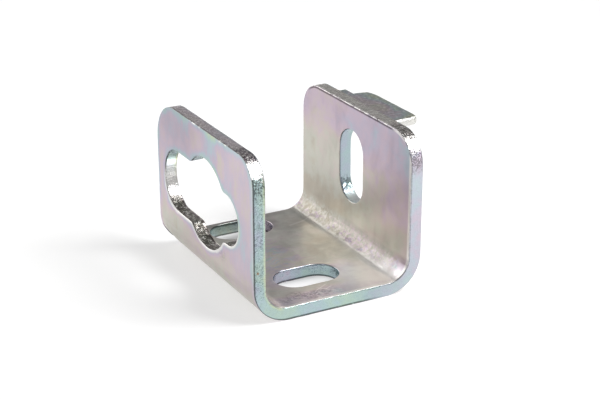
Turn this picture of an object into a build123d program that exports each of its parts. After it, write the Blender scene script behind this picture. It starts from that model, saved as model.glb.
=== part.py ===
"""Zinc-plated stamped bracket: one piece of 3 mm steel sheet folded into a channel, in millimetres.

X runs across the channel, Y along the two folds, Z up. The origin is the middle of the floor's
underside, the face that the bracket is bolted down on. The front is the end at -Y.
"""
from build123d import *
from math import hypot
import os

# Sheet and folds
sheet_t = 3.0  # thickness of the steel
fold_inner_r = 4.8  # inside radius of both folds
fold_thinning = 0.6  # how far the outside radius exceeds the inside one plus the sheet

# Channel
channel_w = 40.0  # across both walls, outside
channel_l = 47.5  # along the folds
cutout_wall_h = 36.0  # wall at -X, from the underside
cutout_wall_front_r = 6.0  # its top corner at the front
cutout_wall_back_r = 9.0  # its top corner at the back
lip_wall_h = 35.0  # wall at +X, from the underside
lip_wall_corner_r = 7.0  # both its top corners

# Three-lobed cut-out in the -X wall
cutout_y = -1.15  # middle of its round opening
cutout_z = 19.5
cutout_d = 20.0
front_lobe_w = 11.0
front_lobe_proud = 5.7  # how far the lobe's end lies outside the round opening
back_lobe_w = 14.0
back_lobe_proud = 11.4
lobe_blend_r = 2.0  # where a lobe runs into the round opening

# Bolt slots
wall_slot_w = 10.0
wall_slot_l = 17.0  # upright
wall_slot_y = 1.2
wall_slot_z = 20.55
floor_slot_w = 9.0
front_slot_l = 14.8
front_slot_x = -1.3
front_slot_y = -11.65
back_slot_l = 15.0
back_slot_x = -2.3
back_slot_web = 1.3  # steel left between the back slot and the floor's back edge

# Lip along the +X wall's top, reaching outwards
lip_t = 2.0
lip_reach = 6.1  # from the wall's outer face
lip_front_y = -12.55
lip_l = 21.2
lip_edge_flat = 0.6  # left between the roundings of its top and bottom edges
lip_front_corner_core = 0.1  # how much its front corner's radius is over those roundings
lip_back_corner_r = 2.0
shoulder_reach = 1.95  # the short step behind the lip
shoulder_l = 3.5
shoulder_corner_r = 1.8
lip_root_r = 0.8  # fillet under the lip, against the wall

# Edges left by the stamping
rolled_edge_r = 0.3  # the side that the punch enters
cut_edge_r = 0.15  # the side that it leaves

os.makedirs("parts", exist_ok=True)

fold_outer_r = fold_inner_r + sheet_t + fold_thinning
outer_x = channel_w / 2
inner_x = outer_x - sheet_t
end_y = channel_l / 2
back_slot_y = end_y - back_slot_web - floor_slot_w / 2
cutter_l = 2 * sheet_t  # enough to pass right through the sheet
lip_anchor_reach = sheet_t / 2  # the lip starts inside the wall
lip_anchor_x = outer_x - lip_anchor_reach
lip_back_y = lip_front_y + lip_l
lip_edge_r = (lip_t - lip_edge_flat) / 2
lip_front_corner_r = lip_edge_r + lip_front_corner_core


def runs_along(edge, direction):
    """True for a straight edge along the given direction."""
    return edge.geom_type == GeomType.LINE and abs(edge.tangent_at(0.5).dot(direction)) > 0.999


def is_smooth_seam(edge):
    """True where a fold or a rounded corner meets its flat neighbours without a corner."""
    fold_seam = runs_along(edge, Vector(0, 1, 0)) and edge.center().Z < fold_outer_r + sheet_t
    corner_seam = runs_along(edge, Vector(1, 0, 0)) and edge.center().Z > fold_outer_r
    return fold_seam or corner_seam


def lies_inside(edge):
    """True for an edge nearer to the channel's inner faces than to its outer ones."""
    point = edge @ 0.5
    past_wall = abs(point.X) - inner_x
    past_floor = sheet_t - point.Z
    if past_wall > -fold_inner_r and past_floor > -fold_inner_r:
        depth = hypot(past_wall + fold_inner_r, past_floor + fold_inner_r) - fold_inner_r
    else:
        depth = max(past_wall, past_floor)
    return depth < sheet_t / 2


def is_lobe_kink(vertex):
    """True for a corner between the cut-out's round opening and one of its lobes."""
    return abs(hypot(vertex.X - cutout_y, vertex.Y - cutout_z) - cutout_d / 2) < 0.001


with BuildPart() as lip:
    # Tongue with a short step behind it, both starting inside the wall
    with BuildSketch(Plane.XY.offset(lip_wall_h - lip_t)) as plan:
        with Locations((lip_anchor_x, lip_front_y)):
            Rectangle(lip_anchor_reach + lip_reach, lip_l, align=Align.MIN)
        with Locations((lip_anchor_x, lip_back_y)):
            Rectangle(lip_anchor_reach + shoulder_reach, shoulder_l, align=Align.MIN)
        tongue_corners = plan.vertices().group_by(Axis.X)[-1].sort_by(Axis.Y)
        step_corner = plan.vertices().group_by(Axis.Y)[-1].sort_by(Axis.X)[-1]
        fillet(tongue_corners[0], lip_front_corner_r)
        fillet(tongue_corners[-1], lip_back_corner_r)
        fillet(step_corner, shoulder_corner_r)
    extrude(amount=lip_t)
    in_wall = lip.faces().sort_by(Axis.X)[0].edges()
    rim = lip.edges().filter_by(Axis.Z, reverse=True) - in_wall
    fillet(rim, lip_edge_r)

with BuildPart() as bracket:
    # Folded channel, from its profile across the folds
    with BuildSketch(Plane.XZ.offset(-end_y)):
        with BuildLine():
            outer = FilletPolyline(
                (-outer_x, cutout_wall_h),
                (-outer_x, 0),
                (outer_x, 0),
                (outer_x, lip_wall_h),
                radius=fold_outer_r,
            )
            inner = FilletPolyline(
                (-inner_x, cutout_wall_h),
                (-inner_x, sheet_t),
                (inner_x, sheet_t),
                (inner_x, lip_wall_h),
                radius=fold_inner_r,
            )
            Line(outer @ 0, inner @ 0)
            Line(outer @ 1, inner @ 1)
        make_face()
    extrude(amount=channel_l)

    # Rounded top corners of both walls
    top_corners = bracket.edges().filter_by(Axis.X).filter_by(lambda e: e.center().Z > fold_outer_r)
    cutout_wall_corners = top_corners.filter_by(lambda e: e.center().X < 0).sort_by(Axis.Y)
    lip_wall_corners = top_corners.filter_by(lambda e: e.center().X > 0)
    fillet(cutout_wall_corners[0], cutout_wall_front_r)
    fillet(cutout_wall_corners[-1], cutout_wall_back_r)
    fillet(lip_wall_corners, lip_wall_corner_r)

    # The blank's outline: rolled over on the inner faces, nearly sharp on the outer ones
    outline = bracket.edges().filter_by(is_smooth_seam, reverse=True)
    fillet(outline.filter_by(lies_inside), rolled_edge_r)
    outline = bracket.edges().filter_by(is_smooth_seam, reverse=True)
    fillet(outline.filter_by(lies_inside, reverse=True), cut_edge_r)

    # Three-lobed cut-out, punched from outside through the -X wall
    with BuildSketch(Plane.YZ.offset(-outer_x)) as cutout:
        with Locations((cutout_y, cutout_z)):
            Circle(cutout_d / 2)
        for width, proud, side in ((front_lobe_w, front_lobe_proud, -1), (back_lobe_w, back_lobe_proud, 1)):
            lobe_run = cutout_d / 2 + proud - width / 2  # from the round opening's middle to the lobe's
            with Locations((cutout_y + side * lobe_run, cutout_z)):
                Circle(width / 2)
            with Locations((cutout_y + side * lobe_run / 2, cutout_z)):
                Rectangle(lobe_run, width)
        fillet(cutout.vertices().filter_by(is_lobe_kink), lobe_blend_r)
    extrude(amount=cutter_l, mode=Mode.SUBTRACT)
    rim = bracket.edges(Select.LAST)
    fillet(rim.group_by(Axis.X)[0], rolled_edge_r)
    fillet(rim.group_by(Axis.X)[-1], cut_edge_r)

    # Upright bolt slot, punched from inside through the +X wall
    with BuildSketch(Plane.YZ.offset(outer_x)):
        with Locations((wall_slot_y, wall_slot_z)):
            SlotOverall(wall_slot_l, wall_slot_w, rotation=90)
    extrude(amount=-cutter_l, mode=Mode.SUBTRACT)
    rim = bracket.edges(Select.LAST)
    fillet(rim.group_by(Axis.X)[0], rolled_edge_r)
    fillet(rim.group_by(Axis.X)[-1], cut_edge_r)

    # Bolt slots across the floor, punched from inside
    for slot_l, slot_x, slot_y in (
        (front_slot_l, front_slot_x, front_slot_y),
        (back_slot_l, back_slot_x, back_slot_y),
    ):
        with BuildSketch():
            with Locations((slot_x, slot_y)):
                SlotOverall(slot_l, floor_slot_w)
        extrude(amount=cutter_l, mode=Mode.SUBTRACT)
        rim = bracket.edges(Select.LAST)
        fillet(rim.group_by(Axis.Z)[-1], rolled_edge_r)
        fillet(rim.group_by(Axis.Z)[0], cut_edge_r)

    # Lip, flush with the +X wall's top edge, with a fillet under it against the wall
    add(lip.part)
    with BuildSketch(Plane.XZ.offset(-lip_back_y + lip_edge_r)):
        with Locations((outer_x, lip_wall_h - lip_t)):
            Rectangle(lip_root_r, lip_root_r, align=(Align.MIN, Align.MAX))
        with Locations((outer_x + lip_root_r, lip_wall_h - lip_t - lip_root_r)):
            Circle(lip_root_r, mode=Mode.SUBTRACT)
    extrude(amount=lip_l - 2 * lip_edge_r)

bracket.part.label = "bracket"
export_step(bracket.part, "parts/bracket.step")
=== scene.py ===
import math

import bpy
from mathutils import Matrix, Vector
from mathutils.kdtree import KDTree


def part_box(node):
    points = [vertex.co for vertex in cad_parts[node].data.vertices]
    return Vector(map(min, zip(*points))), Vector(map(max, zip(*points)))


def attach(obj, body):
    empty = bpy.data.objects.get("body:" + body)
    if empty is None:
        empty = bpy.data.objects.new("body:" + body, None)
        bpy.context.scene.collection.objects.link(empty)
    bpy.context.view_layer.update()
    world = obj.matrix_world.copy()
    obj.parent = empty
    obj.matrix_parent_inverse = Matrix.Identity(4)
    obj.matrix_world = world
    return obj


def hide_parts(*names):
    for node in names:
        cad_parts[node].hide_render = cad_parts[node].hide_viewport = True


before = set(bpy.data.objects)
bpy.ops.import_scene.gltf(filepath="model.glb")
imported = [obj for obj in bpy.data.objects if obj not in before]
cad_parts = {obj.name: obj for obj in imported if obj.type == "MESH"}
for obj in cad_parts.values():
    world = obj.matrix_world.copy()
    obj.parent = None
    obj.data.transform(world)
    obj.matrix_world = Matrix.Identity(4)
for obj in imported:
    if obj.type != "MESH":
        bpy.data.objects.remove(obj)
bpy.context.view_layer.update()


# ---------------------------------------------------------------------------
# The bracket: one piece of 3 mm steel sheet, blanked, punched and folded into
# a channel. It starts as the sheet's true form, cut into cells fine enough to
# carry the marks that the press tools leave on it.
# ---------------------------------------------------------------------------
MM = 0.001
sheet_t = 3.0 * MM
fold_inner_r = 4.8 * MM
fold_outer_r = 8.4 * MM
outer_x = 20.0 * MM
inner_x = outer_x - sheet_t
end_y = 23.75 * MM
left_wall_top = 36.0 * MM
right_wall_top = 35.0 * MM
cell = 0.5 * MM
merge_reach = 0.001 * MM
flat_angle = math.radians(0.5)

cad_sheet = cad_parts["bracket"]
sheet = bpy.data.objects.new("pressed_sheet", cad_sheet.data.copy())
sheet.data.materials.clear()
bpy.context.scene.collection.objects.link(sheet)
bpy.ops.object.select_all(action="DESELECT")
bpy.context.view_layer.objects.active = sheet
sheet.select_set(True)
bpy.ops.object.mode_set(mode="EDIT")
bpy.ops.mesh.select_all(action="SELECT")
bpy.ops.mesh.remove_doubles(threshold=merge_reach)
bpy.ops.mesh.dissolve_limited(angle_limit=flat_angle)
lowest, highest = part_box("bracket")
for axis in range(3):
    normal = [float(axis == side) for side in range(3)]
    for step in range(1, int((highest[axis] - lowest[axis]) / cell)):
        cut_at = [(lowest[axis] + step * cell) * part for part in normal]
        bpy.ops.mesh.select_all(action="SELECT")
        bpy.ops.mesh.bisect(plane_co=cut_at, plane_no=normal)
bpy.ops.object.mode_set(mode="OBJECT")


def from_inside(point):
    """How deep a point lies in the sheet, measured from the channel's inner faces."""
    past_wall = abs(point.x) - inner_x
    past_floor = sheet_t - point.z
    if past_wall > -fold_inner_r and past_floor > -fold_inner_r:
        return math.hypot(past_wall + fold_inner_r, past_floor + fold_inner_r) - fold_inner_r
    return max(past_wall, past_floor)


lip_least_z = 32.0 * MM  # below the lip and its fillet
just_off = 0.02 * MM  # further than this from a face, a point is off it
just_above_floor = sheet_t + 0.01 * MM
facing = 0.7  # a face looks along an axis from this share of its normal on


def is_lip(point):
    """True on the lip and its step, outside the +X wall."""
    return point.x > outer_x + just_off and point.z > lip_least_z


def is_sheared(point, normal):
    """True on the faces that the blanking tool and the punches cut through the sheet."""
    if abs(normal.y) > facing:
        return True
    if point.z > fold_outer_r:
        return abs(normal.x) < facing
    on_floor = point.z < just_above_floor and abs(point.x) < outer_x - fold_outer_r
    return on_floor and abs(normal.z) < facing


rolled, sheared, lip = range(3)
for face in sheet.data.polygons:
    if is_lip(face.center):
        face.material_index = lip
    elif is_sheared(face.center, face.normal):
        face.material_index = sheared
    else:
        face.material_index = rolled

# How near each point is to a sheared edge, and how deep it lies in the sheet
rim_reach = 4.0 * MM
cut_points = {v for face in sheet.data.polygons if face.material_index == sheared for v in face.vertices}
near_cut = KDTree(len(cut_points))
for v in cut_points:
    near_cut.insert(sheet.data.vertices[v].co, v)
near_cut.balance()
rim = sheet.data.attributes.new("rim", "FLOAT", "POINT")
depth = sheet.data.attributes.new("depth", "FLOAT", "POINT")
for v in sheet.data.vertices:
    to_cut = near_cut.find(v.co)[2]
    rim.data[v.index].value = max(0.0, 1.0 - to_cut / rim_reach)
    depth.data[v.index].value = from_inside(v.co) / sheet_t


def weigh(name, weight_at):
    """A vertex group with the weight that each point of the sheet is given."""
    group = sheet.vertex_groups.new(name=name)
    for v in sheet.data.vertices:
        weight = weight_at(v)
        if weight > 0.0:
            group.add([v.index], min(weight, 1.0), "REPLACE")


def press(name, depth_in, cloud_size=0.0, direction="NORMAL"):
    """Pushes the points of a vertex group into the sheet, evenly or in a cloudy pattern."""
    bpy.ops.object.modifier_add(type="DISPLACE")
    dent = sheet.modifiers[-1]
    dent.vertex_group = name
    dent.direction = direction
    if cloud_size:
        cloud = bpy.data.textures.new(name, "CLOUDS")
        cloud.noise_scale = cloud_size
        dent.texture = cloud
        dent.texture_coords = "LOCAL"
        dent.mid_level = 1.0
        dent.strength = depth_in
    else:
        dent.mid_level = 0.0
        dent.strength = -depth_in
    bpy.ops.object.modifier_apply(modifier=dent.name)


def in_box(point, box):
    """True inside a box that is given by its lowest and highest corner in millimetres."""
    low, high = box
    return all(low[axis] * MM < point[axis] < high[axis] * MM for axis in range(3))


# The punches went in from the channel's inner side, and at the cut-out from outside,
# so along those edges the metal rolls over, most of all at the front of the floor
cutout_edge = ((-21, -21, 5), (-19.5, 22, 32.5))
floor_front_edge = ((-16, -24, 2), (16.5, -20, 6))
right_front_edge = ((15, -24, 5), (18, -20, 30))
right_top_edge = ((16, -20, 33), (18, 20, 36))
inner_side = 0.15  # share of the sheet's thickness


def rollover(v):
    """How far the metal is rolled over at a point, from its distance to the cut in millimetres."""
    point = v.co
    reach, amount = 1.1, 0.25
    if in_box(point, cutout_edge):
        reach, amount = 1.1, 0.9
    elif depth.data[v.index].value > inner_side:
        return 0.0
    elif in_box(point, floor_front_edge):
        across = min(1.0, max(0.0, (point.x / MM + 10) / 20))
        reach, amount = 1.0 + 1.1 * across, 0.6 + 0.4 * across
    elif in_box(point, right_front_edge):
        reach, amount = 1.8, 0.45
    elif in_box(point, right_top_edge):
        reach, amount = 0.8, 0.6
    off = (1.0 - rim.data[v.index].value) * rim_reach / MM
    return amount * max(0.0, 1.0 - off / reach) ** 2


# The blank's outline is torn, and the walls of the punched openings are smoother
outline_y = end_y - 0.8 * MM
above_openings = 28.0 * MM
punched_relief = 0.12


def sheared_relief(v):
    if v.index not in cut_points:
        return 0.0
    return 1.0 if abs(v.co.y) > outline_y or v.co.z > above_openings else punched_relief


# The cut-out's lower wall is torn as well, more and more on the way down
cutout_low_wall = ((-19.6, -22, 8), (-16.9, 22, 16.5))
tear_start = 16.0 * MM
tear_run = 2.0 * MM


def cutout_torn(v):
    if v.index not in cut_points or not in_box(v.co, cutout_low_wall):
        return 0.0
    return min(1.0, max(0.0, (tear_start - v.co.z) / tear_run))


# Scuffs where the folding tool rubbed along both inner folds
fold_x = inner_x - fold_inner_r
fold_z = sheet_t + fold_inner_r
scuff_depth = 0.2  # share of the sheet's thickness
scuff_turn = 62.0  # degrees up from the floor
scuff_half_turn = 40.0
scuff_front_y = -21.5 * MM
scuff_fade = 1.0 * MM


def fold_scuff(v):
    if depth.data[v.index].value > scuff_depth:
        return 0.0
    turn = math.degrees(math.atan2(abs(v.co.x) - fold_x, fold_z - v.co.z))
    from_front = min(1.0, max(0.0, (v.co.y - scuff_front_y) / scuff_fade))
    return max(0.0, 1.0 - abs(turn - scuff_turn) / scuff_half_turn) * from_front


# Small nicks on the upper edges, and a knock on the far lower corner
left_nicks = ((3.9, 1.5), (1.2, 0.9), (-8.8, 1.3), (-11.4, 0.8))  # each one's place and its glint's reach
right_nicks = (10.4, 5.6, 0.8, -3.7, -7.1, -10.2)
nicks = [Vector((-outer_x, y * MM, left_wall_top)) for y, reach in left_nicks]
nicks += [Vector((inner_x, y * MM, right_wall_top)) for y in right_nicks]
nick_reach = 0.75 * MM
knock = Vector((-18.6 * MM, end_y, 1.6 * MM))
knock_reach = 5.5 * MM


def nicked(v):
    return max(0.0, 1.0 - min((v.co - nick).length for nick in nicks) / nick_reach)


def knocked(v):
    return max(0.0, 1.0 - (v.co - knock).length / knock_reach) ** 2


# The lip's two free corners, worn round
lip_far_corner = Vector((26.1 * MM, 8.65 * MM))
lip_far_reach = 4.5 * MM
lip_near_corner = Vector((26.1 * MM, -12.55 * MM))
lip_near_reach = 2.5 * MM


def lip_worn(v, corner, reach):
    if not is_lip(v.co):
        return 0.0
    return max(0.0, 1.0 - (v.co.xy - corner).length / reach) ** 1.5


weigh("rollover", rollover)
weigh("sheared_relief", sheared_relief)
weigh("fold_scuff", fold_scuff)
weigh("cutout_torn", cutout_torn)
weigh("nicks", nicked)
weigh("knock", knocked)
weigh("lip_far", lambda v: lip_worn(v, lip_far_corner, lip_far_reach))
weigh("lip_near", lambda v: lip_worn(v, lip_near_corner, lip_near_reach))
press("lip_far", 0.9 * MM, direction="X")
press("lip_far", 0.9 * MM, direction="Y")
press("lip_near", 0.45 * MM, direction="X")
press("lip_near", -0.45 * MM, direction="Y")
press("rollover", 0.48 * MM)
press("sheared_relief", 0.09 * MM, cloud_size=1.3 * MM)
press("cutout_torn", 0.16 * MM, cloud_size=0.7 * MM)
press("fold_scuff", 0.11 * MM, cloud_size=0.9 * MM)
press("nicks", 0.22 * MM)
press("knock", 0.8 * MM)

# A slight waviness all over, as no sheet comes out of the press quite flat
weigh("whole", lambda v: 1.0)
press("whole", 0.09 * MM, cloud_size=7.0 * MM)

bpy.ops.object.shade_smooth_by_angle(angle=math.radians(35))
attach(sheet, "root")
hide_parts("bracket")


# ---------------------------------------------------------------------------
# The finish: bright zinc plate under a clear passivate, whose film is thick
# enough to show straw, pink, blue and green by turns.
# ---------------------------------------------------------------------------
def add(tree, kind, **values):
    """A node with its settings, and its numbered or named inputs set or linked."""
    made = tree.nodes.new("ShaderNode" + kind)
    for name, value in values.pop("set", {}).items():
        setattr(made, name, value)
    for name, value in values.items():
        socket = made.inputs[int(name[1:])] if name[1:].isdigit() else made.inputs[name.replace("_", " ")]
        if isinstance(value, bpy.types.NodeSocket):
            tree.links.new(value, socket)
        else:
            socket.default_value = value
    return made


def maths(tree, operation, *terms):
    """The result of one arithmetic step."""
    step = add(tree, "Math", set={"operation": operation})
    for number, term in enumerate(terms):
        if isinstance(term, bpy.types.NodeSocket):
            tree.links.new(term, step.inputs[number])
        else:
            step.inputs[number].default_value = term
    return step.outputs[0]


def total(tree, *terms):
    """The sum of several values."""
    result = terms[0]
    for term in terms[1:]:
        result = maths(tree, "ADD", result, term)
    return result


def product(tree, *terms):
    """The product of several masks."""
    result = terms[0]
    for term in terms[1:]:
        result = maths(tree, "MULTIPLY", result, term)
    return result


def fade(tree, value, start, end, low=0.0, high=1.0):
    """A smooth change from low to high as the value goes from start to end."""
    step = add(tree, "MapRange", set={"interpolation_type": "SMOOTHSTEP"}, Value=value)
    if start > end:
        start, end, low, high = end, start, high, low
    for name, number in (("From Min", start), ("From Max", end), ("To Min", low), ("To Max", high)):
        step.inputs[name].default_value = number
    return step.outputs[0]


def fade_mm(tree, value, start, end, low=0.0, high=1.0):
    """A smooth change along an axis or a distance, between two places in millimetres."""
    return fade(tree, value, start * MM, end * MM, low, high)


def opposite(tree, mask):
    """Everywhere that a mask is not."""
    return fade(tree, mask, 1.0, 0.0)


def vector_maths(tree, operation, *terms):
    """The node of one step on vectors, with its terms in their order."""
    sockets = {f"i{number}": term for number, term in enumerate(terms)}
    return add(tree, "VectorMath", set={"operation": operation}, **sockets)


def noise(tree, place, per_mm, detail=2.0, roughness=0.5, distortion=0.0):
    """Soft noise with the given number of features in a millimetre."""
    made = add(tree, "TexNoise", Vector=place, Scale=per_mm / MM, Detail=detail, Roughness=roughness)
    made.inputs["Distortion"].default_value = distortion
    return made.outputs["Fac"]


def stretched(tree, place, stretch):
    """The place, scaled along each axis, so that a pattern on it runs in streaks."""
    return vector_maths(tree, "MULTIPLY", place, stretch).outputs["Vector"]


def spot(tree, place, centre, reach, strength=1.0):
    """A soft patch about a centre, both in millimetres, that is gone at its reach along each axis."""
    centre = [part * MM for part in centre]
    reach = [part * MM for part in reach]
    off = vector_maths(tree, "SUBTRACT", place, centre).outputs["Vector"]
    far = vector_maths(tree, "DIVIDE", off, reach).outputs["Vector"]
    far = vector_maths(tree, "LENGTH", far).outputs["Value"]
    return fade(tree, far, 0.15, 1.0, strength, 0.0)


def new_group(name, inputs, outputs):
    """An empty node group with its sockets."""
    group = bpy.data.node_groups.new(name, "ShaderNodeTree")
    for title, kind in inputs:
        group.interface.new_socket(title, in_out="INPUT", socket_type="NodeSocket" + kind)
    for title, kind in outputs:
        group.interface.new_socket(title, in_out="OUTPUT", socket_type="NodeSocket" + kind)
    return group, group.nodes.new("NodeGroupInput"), group.nodes.new("NodeGroupOutput")


# Colour of the plate for the film's thickness, from the thinnest to the thickest
film_tints = (
    (0.00, (0.52, 0.475, 0.40)),  # straw
    (0.12, (0.555, 0.55, 0.485)),
    (0.26, (0.59, 0.52, 0.49)),
    (0.40, (0.585, 0.478, 0.56)),  # pink
    (0.52, (0.53, 0.47, 0.57)),  # lilac
    (0.62, (0.46, 0.52, 0.60)),  # blue
    (0.72, (0.43, 0.56, 0.57)),  # teal
    (0.84, (0.46, 0.59, 0.51)),  # green
    (0.95, (0.55, 0.61, 0.44)),  # yellow-green
)
soiled_zinc = (0.26, 0.25, 0.25, 1.0)
bare_zinc = (0.84, 0.82, 0.80, 1.0)
film, film_in, film_out = new_group(
    "passivate_film",
    [("Thickness", "Float"), ("Mottle", "Float"), ("Dulling", "Float"), ("Polish", "Float")],
    [("Color", "Color")],
)
place = add(film, "TexCoord").outputs["Object"]
broad = maths(film, "SUBTRACT", noise(film, place, 0.09, 3.0, 0.55, 0.6), 0.5)
narrow = maths(film, "SUBTRACT", noise(film, place, 0.42, 3.0, 0.6, 0.3), 0.5)
wander = maths(film, "MULTIPLY_ADD", narrow, 0.45, broad)
thickness = maths(film, "MULTIPLY_ADD", wander, film_in.outputs["Mottle"], film_in.outputs["Thickness"])
ramp = add(film, "ValToRGB", Fac=thickness)
while len(ramp.color_ramp.elements) < len(film_tints):
    ramp.color_ramp.elements.new(0.5)
for stop, (position, tint) in zip(ramp.color_ramp.elements, film_tints):
    stop.position = position
    stop.color = (*tint, 1.0)
dull = add(
    film,
    "MixRGB",
    set={"blend_type": "MULTIPLY"},
    Fac=film_in.outputs["Dulling"],
    Color1=ramp.outputs["Color"],
    Color2=soiled_zinc,
)
bare = add(film, "MixRGB", Fac=film_in.outputs["Polish"], Color1=dull.outputs["Color"], Color2=bare_zinc)
film.links.new(bare.outputs["Color"], film_out.inputs["Color"])


def new_finish(name):
    """A zinc-plated finish on its own material slot, with its tree, its shader and where it lies."""
    finish = bpy.data.materials.new(name)
    finish.use_nodes = True
    sheet.data.materials.append(finish)
    tree = finish.node_tree
    shader = tree.nodes["Principled BSDF"]
    shader.inputs["Metallic"].default_value = 1.0
    place = add(tree, "TexCoord").outputs["Object"]
    return tree, shader, place


def film_colour(tree, thickness, mottle, dulling, polish):
    """The film's colour, from its thickness, its mottle and where it is dull or rubbed bright."""
    tint = add(
        tree,
        "Group",
        set={"node_tree": film},
        Thickness=thickness,
        Mottle=mottle,
        Dulling=dulling,
        Polish=polish,
    )
    return tint.outputs["Color"]


def roughen(tree, shader, height, strength, relief):
    """Fine relief in the surface, as deep as the given length."""
    bump = add(tree, "Bump", Strength=strength, Distance=relief, Height=height)
    tree.links.new(bump.outputs["Normal"], shader.inputs["Normal"])


# Places on the sheet for spots and scratches, in millimetres
left_face = -20
left_top = 36
floor_top = 3.0


def scratch(tree, place, start, end, width):
    """A fine line on the floor between two points, all in millimetres."""
    start = Vector((*start, floor_top)) * MM
    end = Vector((*end, floor_top)) * MM
    run = (end - start).normalized()
    length = (end - start).length
    off = vector_maths(tree, "SUBTRACT", place, start).outputs["Vector"]
    along = vector_maths(tree, "DOT_PRODUCT", off, run).outputs["Value"]
    beside = vector_maths(tree, "CROSS_PRODUCT", off, run).outputs["Vector"]
    beside = vector_maths(tree, "LENGTH", beside).outputs["Value"]
    taper = 0.8 * MM
    ends = product(tree, fade(tree, along, 0.0, taper), fade(tree, along, length, length - taper))
    return product(tree, ends, fade(tree, beside, width * MM, 0.3 * width * MM))


# Marks that run over from the rolled faces on to the sheared ones: bright metal in the nicks along
# the left wall's top edge, and a painted shade on the far rim of the back slot
marks, marks_in, marks_out = new_group(
    "edge_marks_and_shade",
    [("Glint", "Float"), ("Dirt", "Float")],
    [("Nick Glints", "Float"), ("Slot Dirt", "Float")],
)
place = add(marks, "TexCoord").outputs["Object"]
in_nicks = [spot(marks, place, (left_face, y, left_top), (0.8, reach, 0.7)) for y, reach in left_nicks]
on_slot_rim = spot(marks, place, (-2.0, 22.4, floor_top), (14, 2.5, 1.0))
glints = product(marks, total(marks, *in_nicks), marks_in.outputs["Glint"])
rim_shade = product(marks, on_slot_rim, marks_in.outputs["Dirt"])
marks.links.new(glints, marks_out.inputs["Nick Glints"])
marks.links.new(rim_shade, marks_out.inputs["Slot Dirt"])

# Rolled faces of the sheet
rolled_mottle = 0.65
rolled_roughness = 0.35
tree, shader, place = new_finish("rolled_faces")
x, y, z = add(tree, "SeparateXYZ", Vector=place).outputs
edge = add(tree, "Attribute", set={"attribute_name": "rim"}).outputs["Fac"]
deep = add(tree, "Attribute", set={"attribute_name": "depth"}).outputs["Fac"]
inner = fade(tree, deep, 0.6, 0.4)
outer = fade(tree, deep, 0.4, 0.6)
wobble = add(tree, "TexNoise", Vector=place, Scale=0.25 / MM, Detail=3.0).outputs["Color"]
wobble = vector_maths(tree, "SUBTRACT", wobble, (0.5, 0.5, 0.5)).outputs["Vector"]
loose = vector_maths(tree, "MULTIPLY_ADD", wobble, (6.0 * MM, 6.0 * MM, 6.0 * MM), place).outputs["Vector"]

# outer faces run from pink above to straw at the folds, with blue and teal at each cut edge
upright_streaks = noise(tree, stretched(tree, place, (1.0, 1.4, 0.12)), 1.1, 3.0, 0.6)
outer_film = 0.43
outer_t = total(
    tree,
    outer_film,
    fade(tree, edge, 0.50, 1.0, 0.0, 0.26),
    fade_mm(tree, z, 17.0, 3.0, 0.0, -0.27),
    spot(tree, loose, (left_face, 8.5, 35.0), (4, 4, 5), 0.16),  # blue at the top, towards the back
    spot(tree, loose, (left_face, -5.0, 34.0), (4, 5, 4), 0.17),  # blue at the top, towards the front
    spot(tree, loose, (left_face, -8.9, 30.5), (4, 2.6, 5), -0.28),  # yellow above the cut-out
    spot(tree, loose, (left_face, 12.5, 10.0), (4, 6, 4), -0.15),  # straw below its back lobe
    spot(tree, loose, (left_face, -19.0, 18.0), (3, 3, 12), 0.10),  # lilac beside the front edge
    spot(tree, loose, (left_face, 21.5, 20.0), (4, 5, 13), -0.13),  # pink beside the back edge
    spot(tree, loose, (left_face, -16.0, 28.0), (4, 2.5, 5), -0.16),  # yellow at the front top corner
    fade(tree, upright_streaks, 0.3, 0.7, -0.05, 0.05),
)
# inner wall pink on top, yellow in the middle and grey-olive below; lilac beside the near edge
wall_film = 0.44
wall_t = total(
    tree,
    wall_film,
    fade_mm(tree, z, 31.0, 20.0, 0.0, -0.24),
    fade_mm(tree, y, 6.0, -8.0, 0.0, 0.10),
    fade_mm(tree, y, -19.5, -22.5, 0.0, 0.08),
    fade_mm(tree, z, 16.0, 9.0, 0.0, -0.18),
)
# floor straw to olive, pink round the front slot, blue and teal streaks by the left wall
floor_streaks = noise(tree, stretched(tree, loose, (0.35, 1.6, 1.0)), 0.5, 3.0, 0.6)
by_left_wall = spot(tree, loose, (-5.0, 1.0, floor_top), (12, 14, 5))
front_band = spot(tree, loose, (-6.0, -20.7, floor_top), (12, 3.6, 3))
floor_film = 0.10
floor_t = total(
    tree,
    floor_film,
    spot(tree, loose, (8.5, -14.5, floor_top), (7, 8, 5), 0.40),  # right of the front slot
    fade_mm(tree, y, -16.0, -21.0, 0.0, 0.36),
    product(tree, by_left_wall, fade(tree, floor_streaks, 0.42, 0.60, 0.0, 0.75)),
    spot(tree, loose, (-9.5, -12.0, floor_top), (4, 7, 4), 0.28),  # left of the front slot
    spot(tree, loose, (2.0, 20.0, floor_top), (10, 8, 5), 0.22),  # round the back slot
    product(tree, outer, fade(tree, edge, 0.90, 0.97), 0.1),
    fade(tree, edge, 0.65, 1.0, 0.0, 0.12),
    product(tree, front_band, 0.10),
)
on_wall = fade_mm(tree, z, 4.5, 8.5)
on_floor = fade_mm(tree, z, 4.0, 3.2)
inner_t = add(tree, "Mix", i0=on_wall, i2=floor_t, i3=wall_t).outputs[0]
film_t = add(tree, "Mix", i0=inner, i2=outer_t, i3=inner_t).outputs[0]

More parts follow.
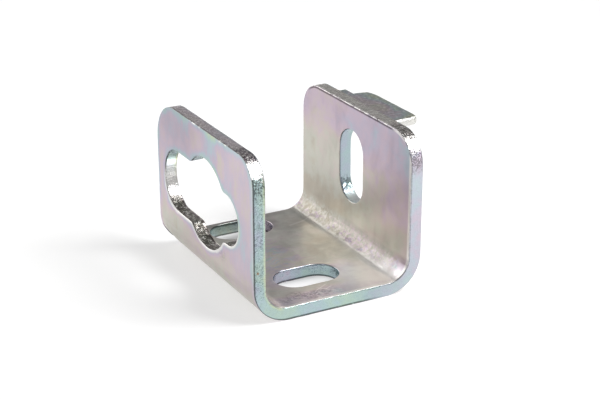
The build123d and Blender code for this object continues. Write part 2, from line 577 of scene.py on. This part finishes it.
# scuffed bands where the folding tool rubbed, in cream and grey-violet flecks
side = maths(tree, "SUBTRACT", maths(tree, "ABSOLUTE", x), fold_x)
up = maths(tree, "SUBTRACT", fold_z, z)
turn = maths(tree, "ARCTAN2", side, up)
ragged = maths(tree, "SUBTRACT", noise(tree, place, 0.5, 3.0, 0.6), 0.5)
turn = maths(tree, "MULTIPLY_ADD", ragged, 0.5, turn)
behind_front = fade_mm(tree, y, -21.6, -20.4)
scuff = product(tree, fade(tree, turn, 0.44, 0.54), fade(tree, turn, 1.55, 0.95), inner, behind_front)
flecks = noise(tree, place, 1.1, 4.0, 0.65, 0.4)
long_flecks = noise(tree, stretched(tree, place, (1.0, 0.45, 1.0)), 0.8, 3.0, 0.6)
blotches = product(tree, scuff, fade(tree, turn, 1.15, 0.75), fade(tree, long_flecks, 0.50, 0.60))
film_t = total(
    tree,
    film_t,
    product(tree, scuff, fade(tree, flecks, 0.40, 0.62, -0.10, 0.16)),
    product(tree, blotches, 0.25),
)

# scratches and scrapes on the floor, a painted shade at the back slot's right end and pits below the
# cut-out
soil = noise(tree, stretched(tree, place, (1.0, 1.0, 0.6)), 0.22, 4.0, 0.6, 0.4)
fine = noise(tree, place, 1.9, 3.0, 0.75)
coarse = noise(tree, place, 1.3, 3.0, 0.65)
long_scratch = scratch(tree, place, (8.0, 14.3), (14.8, 16.1), 0.45)
scratches = total(
    tree,
    product(tree, long_scratch, 0.5),
    scratch(tree, place, (-3.5, -19.6), (0.5, -17.4), 0.2),
    scratch(tree, place, (-2.6, -17.9), (-0.4, -20.2), 0.2),
    scratch(tree, place, (-1.4, -19.9), (1.2, -18.6), 0.16),
)
scraped = product(tree, front_band, fade(tree, fine, 0.56, 0.44))
slot_end_shade = spot(tree, loose, (4.6, 18.6, floor_top), (3.2, 4.0, 3))
below_cutout = spot(tree, place, (left_face, -9.1, 10.9), (2, 2.6, 2.2))
pitted = product(tree, below_cutout, fade(tree, fine, 0.55, 0.42))

# painted light along the rims: a bright beaded highlight and a dark shade line along the right wall's top,
# and a bright rim highlight below the cut-out, all painted
by_right_top = product(tree, fade_mm(tree, z, 32.5, 34.0), fade_mm(tree, x, 15.0, 16.5), inner)
rim_beads = fade(tree, coarse, 0.44, 0.56, 0.10, 1.0)
beaded_rim_highlight = product(tree, by_right_top, fade(tree, edge, 0.92, 0.96), rim_beads)
painted_rim_line = product(tree, by_right_top, fade(tree, edge, 0.80, 0.88), fade(tree, edge, 0.96, 0.92))
cutout_rim_highlight = product(
    tree,
    outer,
    fade(tree, edge, 0.79, 0.93),
    fade_mm(tree, z, 22.0, 15.0),
    fade_mm(tree, maths(tree, "ABSOLUTE", y), 22.0, 20.0),
)
behind_top_corner = fade_mm(tree, y, -15.0, -18.0, 0.9, 0.0)
round_top_corner = fade_mm(tree, y, -15.0, -18.0)
# painted highlight along the floor's front inner rim
floor_front_highlight = product(tree, inner, fade_mm(tree, y, -22.6, -23.2), fade_mm(tree, x, -16.5, -13.0))
marked = add(tree, "Group", set={"node_tree": marks}, Glint=0.9, Dirt=1.4).outputs

# where the plate is made darker: dull from dirt and handling, painted shade at the back slot and along the
# right wall's top rim, and darker zones listed by place
dulling = total(
    tree,
    product(tree, inner, on_floor, fade(tree, soil, 0.44, 0.66, 0.0, 0.16)),
    product(tree, inner, fade(tree, soil, 0.50, 0.72, 0.0, 0.08)),
    product(tree, on_floor, inner, fade(tree, floor_streaks, 0.50, 0.70, 0.0, 0.12)),
    product(tree, blotches, 0.30),
    product(tree, scuff, fade(tree, flecks, 0.46, 0.36, 0.0, 0.22)),
    product(tree, scraped, 0.75),
    # painted shade at the back slot's right end
    product(tree, slot_end_shade, 0.8),
    # painted shade on the back slot's far rim
    marked["Slot Dirt"],
    product(tree, inner, on_floor, fade_mm(tree, y, 7.0, 18.0, 0.0, 0.12)),  # the floor's back half
    spot(tree, loose, (-0.5, 3.5, floor_top), (5, 8, 3), 0.05),  # the floor's middle
    product(tree, pitted, 0.35),
    # painted dark line along the right wall's top rim, behind the corner
    product(tree, painted_rim_line, behind_top_corner),
    product(tree, outer, spot(tree, place, (left_face, 14.0, 31.0), (4, 24, 20), 0.20)),  # darker in a broad patch
    product(tree, outer, spot(tree, loose, (left_face, 13.0, 33.0), (4, 14, 7), 0.12)),  # and in a closer patch
    product(tree, inner, fade_mm(tree, z, 22.0, 32.0, 0.0, 0.10)),  # the walls' tops
    product(tree, inner, on_wall, fade_mm(tree, z, 20.0, 11.0, 0.0, 0.16)),  # the walls' feet
)

# where the plate is made brighter: rubbed bright by wear, and painted highlights and a painted reflection
polish = total(
    tree,
    product(tree, inner, spot(tree, loose, (12.5, -17.5, floor_top), (12, 11, 4), 0.78)),  # painted reflection of the fold's highlight, front right
    product(tree, scuff, fade(tree, flecks, 0.50, 0.66, 0.0, 0.30)),
    product(tree, inner, on_floor, fade(tree, soil, 0.50, 0.30, 0.10, 0.30)),
    product(tree, outer, fade_mm(tree, y, -6.0, -20.0, 0.0, 0.14)),
    product(tree, cutout_rim_highlight, 0.9),
    marked["Nick Glints"],
    product(tree, scratches, 0.5),
    product(tree, front_band, fade(tree, coarse, 0.44, 0.60, -0.25, 0.30)),
    product(tree, inner, on_floor, 0.21),
    product(tree, floor_front_highlight, 0.9),
    product(tree, outer, fade_mm(tree, y, -22.9, -23.4), 0.2),
    # painted highlight along the right wall's top rim at its corner
    product(tree, painted_rim_line, round_top_corner, 0.9),
    beaded_rim_highlight,
)
tree.links.new(film_colour(tree, film_t, rolled_mottle, dulling, polish), shader.inputs["Base Color"])
roughness = total(
    tree, rolled_roughness, product(tree, scuff, 0.17), fade(tree, soil, 0.35, 0.7, -0.03, 0.05)
)
tree.links.new(roughness, shader.inputs["Roughness"])
swell = noise(tree, place, 0.30, 2.0, 0.5)
grain = noise(tree, place, 2.6, 4.0, 0.6)
height = total(tree, swell, product(tree, grain, 0.10), product(tree, scuff, flecks, 0.6))
roughen(tree, shader, height, 0.35, 0.06 * MM)

# Sheared faces: rough and speckled where the sheet tore, brighter along the side that the punch met
sheared_mottle = 0.6
sheared_roughness = 0.26
back_slot_end = (5.4, 17.9, 1.5)
tree, shader, place = new_finish("sheared_edges")
x, y, z = add(tree, "SeparateXYZ", Vector=place).outputs
far_y = maths(tree, "ABSOLUTE", y)
deep = add(tree, "Attribute", set={"attribute_name": "depth"}).outputs["Fac"]
speck = noise(tree, place, 2.3, 4.0, 0.8)
drag = noise(tree, stretched(tree, place, (0.5, 1.0, 1.6)), 1.2, 3.0, 0.6)
flake = noise(tree, place, 1.25, 3.0, 0.7)

# where the edges lie: the right wall is a millimetre lower, and level makes up for that
right = fade_mm(tree, x, 4.0, 16.0)
level = maths(tree, "MULTIPLY_ADD", right, left_wall_top - right_wall_top, z)
uneven = maths(tree, "MULTIPLY_ADD", maths(tree, "SUBTRACT", flake, 0.5), 7.0 * MM, level)
top = fade_mm(tree, level, 32.0, 34.5)
outline = fade_mm(tree, far_y, 22.9, 23.4)
in_openings = opposite(tree, outline)
in_floor = fade_mm(tree, z, 4.5, 2.5)
left = fade_mm(tree, x, -13.0, -17.0)
left_wall = product(tree, left, fade_mm(tree, z, 3.0, 9.0))
cutout_low = product(tree, left_wall, fade_mm(tree, z, 16.0, 13.5), fade(tree, outline, 0.5, 0.0), 0.9)
cutout_brown = product(tree, left, fade_mm(tree, z, 17.0, 14.0), fade_mm(tree, z, 8.0, 9.3), in_openings)
in_wall_slot = product(tree, right, fade_mm(tree, z, 8.0, 11.0), fade_mm(tree, z, 31.0, 29.5), in_openings)
off_wall_slot = opposite(tree, in_wall_slot)
sheared_film = 0.70
film_t = total(
    tree,
    sheared_film,
    product(tree, fade(tree, deep, 0.32, 0.05), fade_mm(tree, x, -12.0, -15.0), 0.2),
    product(tree, top, -0.32),
    product(tree, right, -0.14),
    product(tree, in_floor, fade(tree, outline, 0.0, 1.0, -0.04, 0.08)),
    spot(tree, place, back_slot_end, (3, 4, 4), -0.2),
    spot(tree, place, (-7.0, -8.0, 1.5), (7, 6, 5), -0.12),  # left end of the front slot
    spot(tree, place, (-6.0, 22.4, 1.5), (14, 3, 4), 0.14),  # far wall of the back slot
    product(tree, cutout_brown, -0.55),
    product(tree, in_wall_slot, 0.13),
)

# a thin dark line near the outer side on the left and below, and near the inner side on the right
broken = fade(tree, drag, 0.30, 0.40, 0.4, 1.0)
outer_line = product(tree, fade(tree, deep, 0.81, 0.87), broken, fade_mm(tree, x, 12.0, 4.0))
inner_line = product(tree, fade(tree, deep, 0.15, 0.09), broken, right)

# the rounded top corners: a painted highlight of bare zinc in the middle, where the lamp's highlight
# falls; above and below, torn metal with painted dark and bright flecks
corners = product(tree, fade_mm(tree, far_y, 15.0, 17.5), fade_mm(tree, level, 26.5, 30.0))
painted_corner_highlight = product(tree, corners, fade_mm(tree, uneven, 31.9, 32.9), fade_mm(tree, uneven, 35.5, 34.8))
over_blown = product(tree, fade_mm(tree, y, -13.0, -16.5), fade_mm(tree, uneven, 34.6, 35.2))
under_blown = product(tree, corners, fade_mm(tree, uneven, 32.8, 31.8))

# how torn the metal is, and the pits and tool ticks in it
torn = total(tree, 0.14, product(tree, outline, left_wall, 0.8), product(tree, cutout_low, 0.8))
torn = product(tree, torn, fade(tree, deep, 0.12, 0.26), off_wall_slot)
torn = maths(tree, "MAXIMUM", torn, product(tree, corners, fade(tree, painted_corner_highlight, 0.0, 1.0, 0.85, 0.2)))
torn = maths(tree, "MINIMUM", maths(tree, "MAXIMUM", torn, product(tree, top, 0.45)), 1.0)
pits = product(tree, fade(tree, speck, 0.51, 0.40), torn)
ticks = noise(tree, stretched(tree, place, (0.4, 1.0, 3.0)), 1.3, 2.0, 0.6)
ticks = product(tree, fade(tree, ticks, 0.46, 0.38), fade(tree, deep, 0.2, 0.1), off_wall_slot)
# bright beads on the right wall's inner top rim: burr beads with a painted highlight
bead_highlights = product(tree, fade(tree, deep, 0.20, 0.10), top, right, fade(tree, flake, 0.40, 0.56, 0.25, 1.0))
below_top = fade(tree, top, 0.0, 1.0, 0.6, 0.0)
less_in_wall_slot = fade(tree, in_wall_slot, 0.0, 1.0, 1.0, 0.4)
less_on_right = fade(tree, right, 0.0, 1.0, 1.0, 0.5)
right_of_middle = fade_mm(tree, x, 2.0, 9.0)
short_of_wall = fade_mm(tree, x, 17.0, 14.0)
marked = add(tree, "Group", set={"node_tree": marks}, Glint=0.9, Dirt=1.4).outputs
dulling = total(
    tree,
    outer_line,
    product(tree, inner_line, below_top, less_in_wall_slot),
    product(tree, pits, 0.55),
    product(tree, ticks, 0.45),
    product(tree, over_blown, fade(tree, speck, 0.60, 0.50, 0.45, 1.2)),
    product(tree, under_blown, fade(tree, speck, 0.56, 0.42, 0.1, 0.8), less_on_right),
    product(tree, cutout_low, fade(tree, flake, 0.58, 0.42, 0.25, 1.0)),
    product(tree, top, fade(tree, flake, 0.52, 0.40), 0.45),
    product(tree, in_floor, in_openings, 0.10),
    product(tree, in_wall_slot, 0.18),
    product(tree, outline, right_of_middle, short_of_wall, 0.14),
    # painted shade at the back slot's right end
    spot(tree, place, back_slot_end, (3, 4, 4), 0.3),
    # painted shade on the back slot's far rim
    marked["Slot Dirt"],
)
polish = total(
    tree,
    product(tree, right, outline, 0.14),
    product(tree, painted_corner_highlight, 0.85),
    product(tree, over_blown, fade(tree, flake, 0.56, 0.60), 0.9),
    product(tree, top, fade(tree, flake, 0.54, 0.66), opposite(tree, over_blown), 0.4),
    product(tree, top, fade(tree, over_blown, 0.0, 1.0, 0.18, -0.12)),
    spot(tree, place, (18.5, 1.2, 12.0), (4, 5, 3.5), 0.7),  # painted light at the bottom of the wall's slot
    spot(tree, place, (-2.0, 22.3, 1.2), (14, 3, 1.8), 0.2),  # far wall of the back slot
    product(tree, cutout_low, fade(tree, flake, 0.55, 0.63), 0.95),
    marked["Nick Glints"],
    product(tree, top, 0.12),
    product(tree, left_wall, spot(tree, place, (-18.5, 20.8, 17.0), (4, 6, 6), 1.0)),  # painted highlight at the cut-out's back end
    product(tree, bead_highlights, 0.8),
    product(tree, outline, left_wall, fade(tree, deep, 0.92, 0.97), 0.25),
)
rust_brown = (0.33, 0.17, 0.08, 1.0)
rust = spot(tree, place, (-18.9, -23.75, 12.0), (0.45, 0.5, 0.45))
plated = film_colour(tree, film_t, sheared_mottle, dulling, polish)
stained = add(tree, "MixRGB", Fac=rust, Color1=plated, Color2=rust_brown).outputs["Color"]
tree.links.new(stained, shader.inputs["Base Color"])
rougher_slot_end = spot(tree, place, (18.5, 2.0, 12.0), (4, 6, 3.5), 0.28)
tree.links.new(maths(tree, "ADD", rougher_slot_end, sheared_roughness), shader.inputs["Roughness"])
height = total(
    tree,
    product(tree, speck, torn),
    product(tree, flake, cutout_low, 0.5),
    product(tree, drag, fade(tree, in_wall_slot, 0.0, 1.0, 0.4, 0.08)),
)
roughen(tree, shader, height, 0.9, 0.20 * MM)

# Pressed lip: matt and mottled, with a painted highlight at its front end and outer edge
tree, shader, place = new_finish("pressed_lip")
lip_film = 0.84
lip_mottle = 1.6
lip_polish = 0.20
x, y = add(tree, "SeparateXYZ", Vector=place).outputs[:2]
lumps = noise(tree, place, 1.2, 4.0, 0.75)
dulling = fade(tree, lumps, 0.60, 0.42, 0.0, 0.55)
polish = total(
    tree,
    lip_polish,
    fade(tree, lumps, 0.56, 0.66, 0.0, 0.5),
    fade_mm(tree, y, -11.7, -12.2, 0.0, 0.6),
    fade_mm(tree, x, 25.3, 25.8, 0.0, 0.4),
)
film_t = total(tree, lip_film, spot(tree, place, (21.5, -1.0, 35.0), (3.5, 12, 4), -0.55))
tree.links.new(film_colour(tree, film_t, lip_mottle, dulling, polish), shader.inputs["Base Color"])
shader.inputs["Roughness"].default_value = 0.36
roughen(tree, shader, lumps, 0.9, 0.22 * MM)


# ---------------------------------------------------------------------------
# The studio: a white table under a soft lamp from the front right, a weaker
# one from behind on the left, and a room with pale walls and a dark ceiling.
# ---------------------------------------------------------------------------
bpy.ops.mesh.primitive_plane_add(size=4.0, location=(0, 0, 0))
table = bpy.context.object
table.name = "table_top"

# the table shows white, and its glow is turned down under the bracket: a painted shade where the room
# doesn't reach it
table_white = (0.60, 0.60, 0.60, 1)
table_glow = 0.53
shaded_half_x = 15.5 * MM
shaded_half_y = 17.4 * MM
shaded_y = 7.0 * MM
white_top = bpy.data.materials.new("white_table")
white_top.use_nodes = True
tree = white_top.node_tree
tree.nodes.clear()
painted = add(tree, "BsdfDiffuse", Color=table_white)
ray = add(tree, "LightPath").outputs
seen = maths(tree, "MAXIMUM", ray["Is Camera Ray"], ray["Is Glossy Ray"])
seen = maths(tree, "MAXIMUM", seen, ray["Is Transmission Ray"])
place = add(tree, "TexCoord").outputs["Object"]
x, y = add(tree, "SeparateXYZ", Vector=place).outputs[:2]
off_x = maths(tree, "DIVIDE", maths(tree, "ABSOLUTE", x), shaded_half_x)
off_y = maths(tree, "DIVIDE", maths(tree, "ABSOLUTE", maths(tree, "SUBTRACT", y, shaded_y)), shaded_half_y)
painted_shade_glow = fade(tree, maths(tree, "MAXIMUM", off_x, off_y), 0.72, 0.97, 0.15, 1.0)
glow = add(tree, "Emission", Strength=product(tree, seen, painted_shade_glow, table_glow))
both = add(tree, "AddShader", i0=painted.outputs[0], i1=glow.outputs[0])
add(tree, "OutputMaterial", Surface=both.outputs[0])
table.data.materials.append(white_top)

# the room, and a white backdrop that only the camera sees
wall_light = 0.46
ceiling_light = 0.08
white = (1, 1, 1, 1)
room = bpy.data.worlds.new("pale_room")
bpy.context.scene.world = room
room.use_nodes = True
tree = room.node_tree
tree.nodes.clear()
above = add(tree, "SeparateXYZ", Vector=add(tree, "TexCoord").outputs["Generated"]).outputs[2]
darker_above = fade(tree, above, 0.45, 0.80, wall_light, ceiling_light)
walls = add(tree, "Background", Color=white, Strength=darker_above)
backdrop = add(tree, "Background", Color=white)
ray = add(tree, "LightPath").outputs
mix = add(tree, "MixShader", i0=ray["Is Camera Ray"], i1=walls.outputs[0], i2=backdrop.outputs[0])
add(tree, "OutputWorld", Surface=mix.outputs[0])

bracket_middle = Vector((0, 0, 18.0 * MM))


def soft_lamp(name, towards, distance, size, watts, colour):
    """A square soft lamp that shines on the bracket from the given side."""
    side = Vector(towards).normalized()
    bpy.ops.object.light_add(type="AREA", location=bracket_middle + side * distance)
    lamp = bpy.context.object
    lamp.name = name
    lamp.rotation_euler = side.to_track_quat("Z", "Y").to_euler()
    lamp.data.size = size
    lamp.data.energy = watts
    lamp.data.color = colour


soft_lamp("key_lamp", (0.44, -0.42, 0.77), distance=0.5, size=0.26, watts=2.2, colour=(1.0, 1.0, 1.0))
soft_lamp("window_lamp", (-0.40, 0.82, 0.42), distance=0.5, size=0.40, watts=0.9, colour=(1.0, 0.99, 0.98))

# Camera, looking down on the bracket from the front left
bpy.ops.object.camera_add(location=(-0.1395, -0.2655, 0.1368))
camera = bpy.context.object
camera.rotation_euler = (math.radians(68.07), 0.0, math.radians(-28.3))
camera.data.lens = 88.5
camera.data.sensor_width = 36.0
bpy.context.scene.camera = camera
bpy.context.scene.view_settings.view_transform = "Standard"
